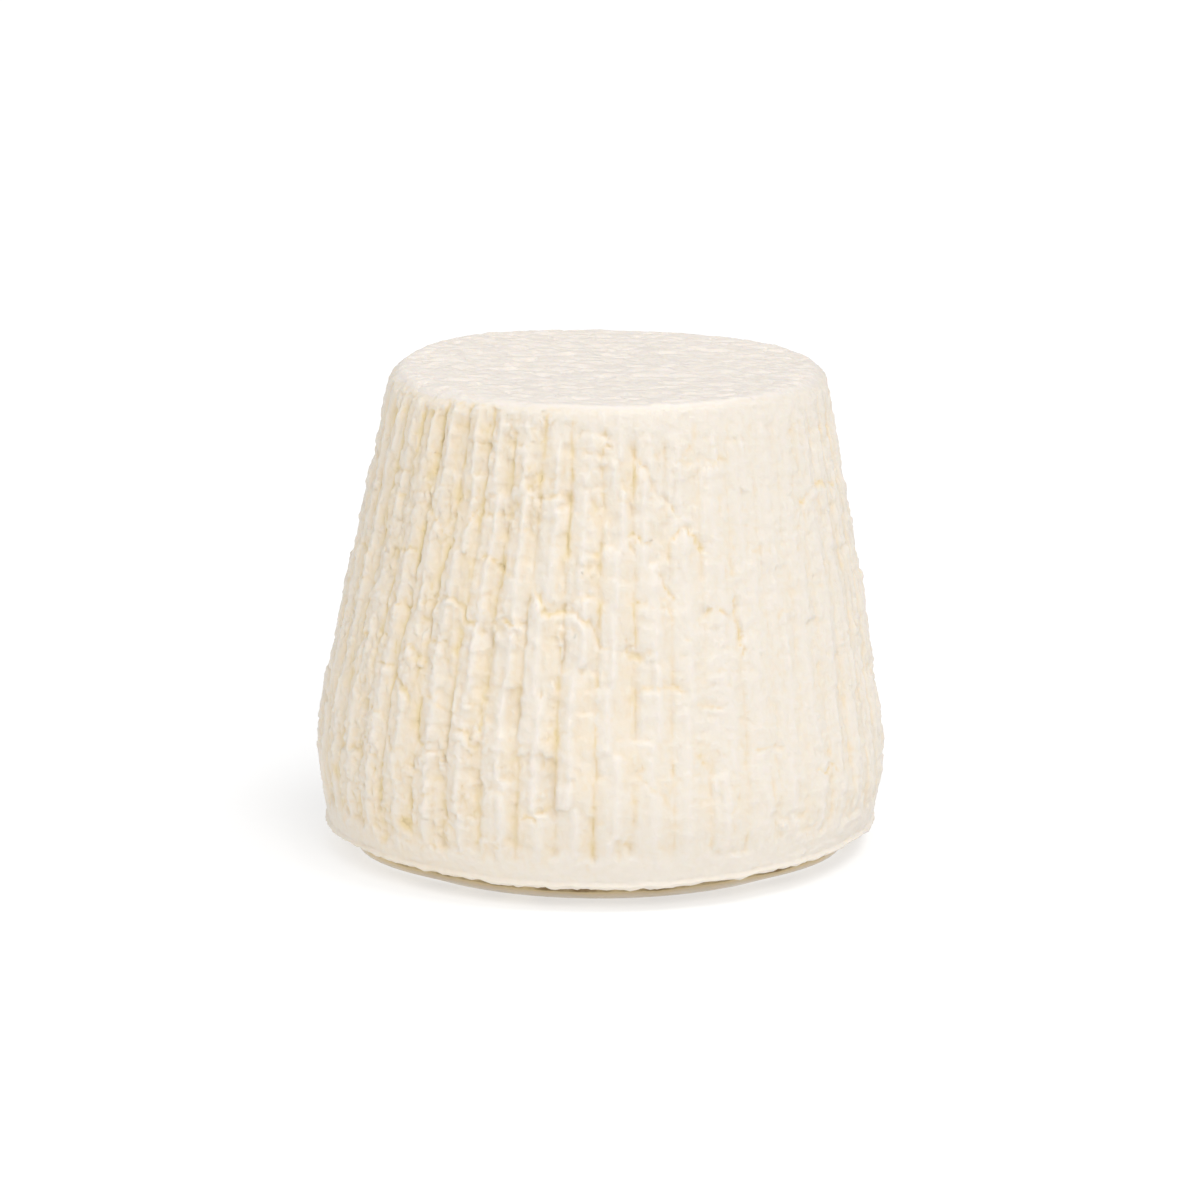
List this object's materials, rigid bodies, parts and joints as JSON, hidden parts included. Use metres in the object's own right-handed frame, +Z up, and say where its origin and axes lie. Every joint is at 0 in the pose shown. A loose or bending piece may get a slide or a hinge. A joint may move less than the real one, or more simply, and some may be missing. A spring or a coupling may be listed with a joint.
{
  "type": "ricotta salata cheese",
  "caption": "Small salted whey cheese moulded in a basket: a tapering ribbed drum with a flat top, a rounded lower edge and curd knit lines round its wall.",
  "frame": {"origin": "middle of the flat underside, at the centre of the part's box", "axes": "+Z up through the top face, -Y towards the front"},
  "size_m": [0.1002, 0.1, 0.0852],
  "materials": {
    "curd": "matt, faintly moist cream-white pressed curd, yellower in its creases"
  },
  "bodies": {
    "root": {"ricotta_salata": "curd"}
  },
  "joints": []
}
